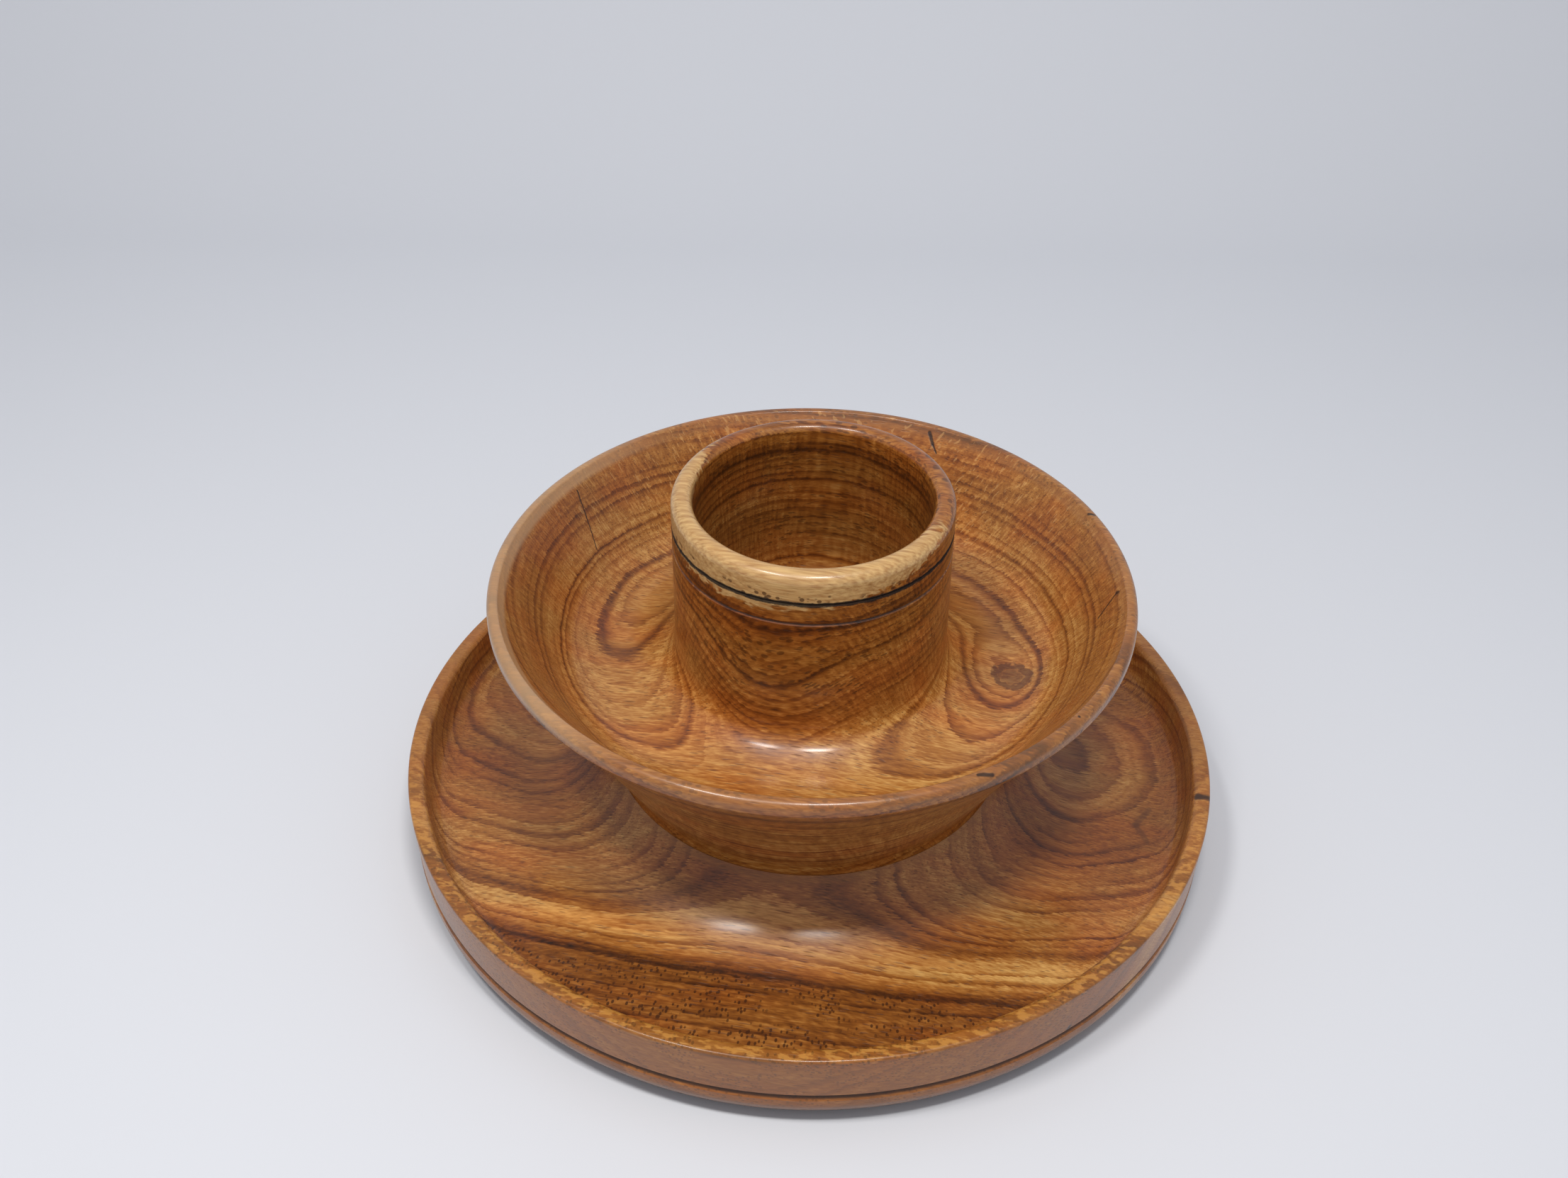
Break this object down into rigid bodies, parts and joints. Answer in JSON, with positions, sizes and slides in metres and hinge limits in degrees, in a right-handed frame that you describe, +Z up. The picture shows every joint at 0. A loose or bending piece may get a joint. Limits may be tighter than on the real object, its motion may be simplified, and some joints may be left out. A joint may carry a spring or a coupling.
{
  "type": "chip and dip server",
  "caption": "Turned wooden server: a wide round tray with a smaller flared bowl standing on its hub, and an upright dip cup rising from the middle of the bowl.",
  "frame": {"origin": "on the turning axis, in the plane that the tray's foot ring stands on", "axes": "+Z up along the turning axis; the piece is round, and +X follows the grain of both tiers"},
  "size_m": [0.254, 0.254, 0.1226],
  "materials": {
    "tray_wood": "oiled and polished, satin",
    "bowl_wood": "oiled and polished, satin"
  },
  "bodies": {
    "tray": {"tray": "tray_wood"},
    "dip_bowl": {"dip_bowl": "bowl_wood"}
  },
  "joints": [
    {"name": "bowl_lift", "type": "slide", "parent": "tray", "child": "dip_bowl", "axis": [0, 0, 1], "range_m": [0, 0.06]}
  ]
}
